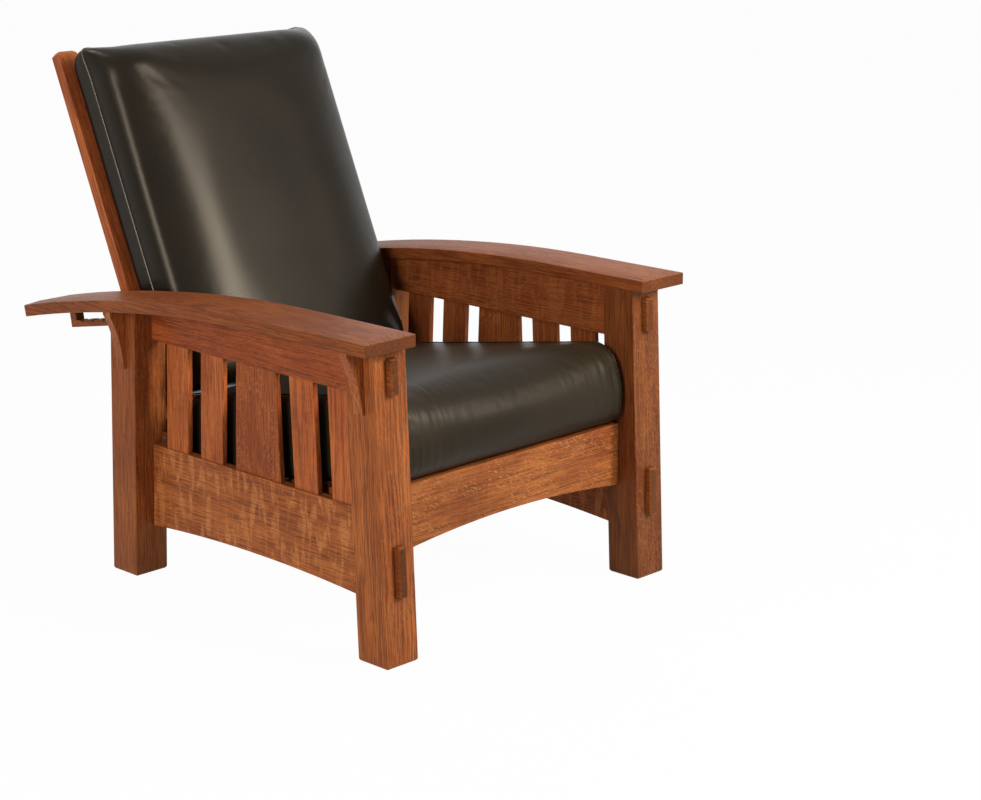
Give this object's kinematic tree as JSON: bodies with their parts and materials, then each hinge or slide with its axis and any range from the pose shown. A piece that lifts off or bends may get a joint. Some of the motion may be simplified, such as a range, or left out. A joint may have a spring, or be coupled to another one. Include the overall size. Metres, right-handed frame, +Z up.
{
  "type": "mission reclining armchair",
  "caption": "Reclining armchair with splayed oak legs, broad bowed arms, slatted sides, arched rails, loose leather cushions and a back that leans on a rod in notched racks.",
  "frame": {"origin": "on the floor, under the middle of the chair's bounding box", "axes": "+Z up, the front of the chair towards -Y, +X towards the sitter's left"},
  "size_m": [0.85, 1.0578, 1.0323],
  "materials": {
    "oak": "quarter-sawn oak, stained reddish brown, satin lacquer",
    "leather": "smooth black-brown leather, soft sheen",
    "steel": "zinc-plated steel",
    "nylon": "dark nylon"
  },
  "bodies": {
    "chair_frame": {"arm_left": "oak", "arm_right": "oak", "block_screws": "steel", "corbel_front_left": "oak", "corbel_front_right": "oak", "corbel_rear_left": "oak", "corbel_rear_right": "oak", "floor_glides": "nylon", "front_rail": "oak", "leg_front_left": "oak", "leg_front_right": "oak", "leg_rear_left": "oak", "leg_rear_right": "oak", "pivot_block_left": "oak", "pivot_block_right": "oak", "pivot_bolt_left": "steel", "pivot_bolt_right": "steel", "pivot_washer_left": "nylon", "pivot_washer_right": "nylon", "rack_left": "oak", "rack_right": "oak", "rack_spacers_left": "oak", "rack_spacers_right": "oak", "rear_rail": "oak", "seat_cushion": "leather", "seat_frame_front": "oak", "seat_frame_rear": "oak", "seat_frame_side_left": "oak", "seat_frame_side_right": "oak", "seat_front_cleat": "oak", "seat_ledger_left": "oak", "seat_ledger_right": "oak", "seat_slats": "oak", "show_tenon_lower_left": "oak", "show_tenon_lower_right": "oak", "show_tenon_upper_left": "oak", "show_tenon_upper_right": "oak", "side_rail_lower_left": "oak", "side_rail_lower_right": "oak", "side_rail_upper_left": "oak", "side_rail_upper_right": "oak", "side_slat_wide_left": "oak", "side_slat_wide_right": "oak", "side_slats_narrow_left": "oak", "side_slats_narrow_right": "oak"},
    "back_frame": {"back_crest_rail": "oak", "back_cushion": "leather", "back_foot_rail": "oak", "back_post_left": "oak", "back_post_right": "oak", "back_slats": "oak"},
    "support_rod": {"support_rod": "oak"}
  },
  "joints": [
    {"name": "back_recline", "type": "hinge", "parent": "chair_frame", "child": "back_frame", "pos_m": [0, 0.18096, 0.24147], "axis": [-1, 0, 0], "range_deg": [0, 18]},
    {"name": "rod_slide", "type": "slide", "parent": "chair_frame", "child": "support_rod", "axis": [0, 0.9829, -0.184], "range_m": [0, 0.1113]}
  ],
  "couplings": [
    {"joint": "rod_slide", "follows": "back_recline", "m_per_rad": 0.35428}
  ]
}
